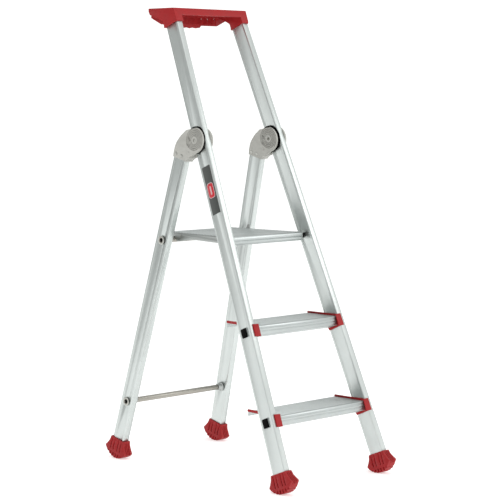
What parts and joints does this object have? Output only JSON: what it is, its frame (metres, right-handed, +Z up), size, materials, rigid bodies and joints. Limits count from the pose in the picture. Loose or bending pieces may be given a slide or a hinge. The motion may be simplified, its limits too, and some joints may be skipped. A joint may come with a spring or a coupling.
{
  "type": "folding stepladder",
  "caption": "Folding aluminium stepladder with leaning front stiles, ribbed treads, a flip-up platform, braced rear legs, rocker feet and a tool tray on top.",
  "frame": {"origin": "centre of the footprint on the floor", "axes": "+Z up, the user climbs from -Y, +X to the user's right"},
  "size_m": [0.4314, 0.7778, 1.3346],
  "materials": {
    "anodised_aluminium": "satin silver anodised extrusion",
    "mill_aluminium": "pressed mill-finish aluminium",
    "red_plastic": "injection-moulded, fine texture",
    "grey_plastic": "glass-filled moulding, satin",
    "black_plastic": "moulded, matt",
    "zinc_steel": "zinc-plated steel",
    "label_foil": "dark self-adhesive foil",
    "badge_foil": "plain red domed badge"
  },
  "bodies": {
    "front_frame": {"left_front_foot": "red_plastic", "left_front_stile": "anodised_aluminium", "left_hinge_washer_inner": "grey_plastic", "left_hinge_washer_outer": "black_plastic", "left_lower_tread_end_cap": "red_plastic", "left_lower_tread_plug": "black_plastic", "left_pivot_pin": "zinc_steel", "left_platform_pin": "zinc_steel", "left_platform_spacer": "black_plastic", "left_upper_tread_end_cap": "red_plastic", "left_upper_tread_plug": "black_plastic", "lower_tread": "anodised_aluminium", "right_front_foot": "red_plastic", "right_front_stile": "anodised_aluminium", "right_hinge_washer_inner": "black_plastic", "right_hinge_washer_outer": "grey_plastic", "right_lower_tread_end_cap": "red_plastic", "right_lower_tread_plug": "black_plastic", "right_pivot_pin": "zinc_steel", "right_platform_pin": "zinc_steel", "right_platform_spacer": "black_plastic", "right_upper_tread_end_cap": "red_plastic", "right_upper_tread_plug": "black_plastic", "stile_badge": "badge_foil", "stile_label": "label_foil", "top_tray": "red_plastic", "upper_tread": "anodised_aluminium"},
    "rear_frame": {"left_hinge_cheek_inner": "grey_plastic", "left_hinge_cheek_outer": "grey_plastic", "left_hinge_rivet_1": "zinc_steel", "left_hinge_rivet_2": "zinc_steel", "left_lower_tube_collar": "mill_aluminium", "left_lower_tube_plug": "black_plastic", "left_lower_tube_ring": "zinc_steel", "left_rear_foot": "red_plastic", "left_rear_leg": "anodised_aluminium", "left_upper_tube_plug": "black_plastic", "left_upper_tube_ring": "zinc_steel", "lower_cross_tube": "anodised_aluminium", "right_hinge_cheek_inner": "grey_plastic", "right_hinge_cheek_outer": "grey_plastic", "right_hinge_rivet_1": "zinc_steel", "right_hinge_rivet_2": "zinc_steel", "right_lower_tube_collar": "mill_aluminium", "right_lower_tube_plug": "black_plastic", "right_lower_tube_ring": "zinc_steel", "right_rear_foot": "red_plastic", "right_rear_leg": "anodised_aluminium", "right_upper_tube_plug": "black_plastic", "right_upper_tube_ring": "zinc_steel", "upper_cross_tube": "anodised_aluminium"},
    "platform": {"left_platform_bracket": "mill_aluminium", "left_platform_rivet_1": "zinc_steel", "left_platform_rivet_2": "zinc_steel", "platform_deck": "anodised_aluminium", "platform_nosing": "anodised_aluminium", "right_platform_bracket": "mill_aluminium", "right_platform_rivet_1": "zinc_steel", "right_platform_rivet_2": "zinc_steel"}
  },
  "joints": [
    {"name": "rear_fold", "type": "hinge", "parent": "front_frame", "child": "rear_frame", "pos_m": [0, 0.04224, 0.95165], "axis": [-1, 0, 0], "range_deg": [0, 36]},
    {"name": "platform_fold", "type": "hinge", "parent": "front_frame", "child": "platform", "pos_m": [0, -0.07371, 0.66911], "axis": [1, 0, 0], "range_deg": [0, 66.7]}
  ],
  "couplings": [
    {"joint": "platform_fold", "follows": "rear_fold", "ratio": 1.85}
  ]
}
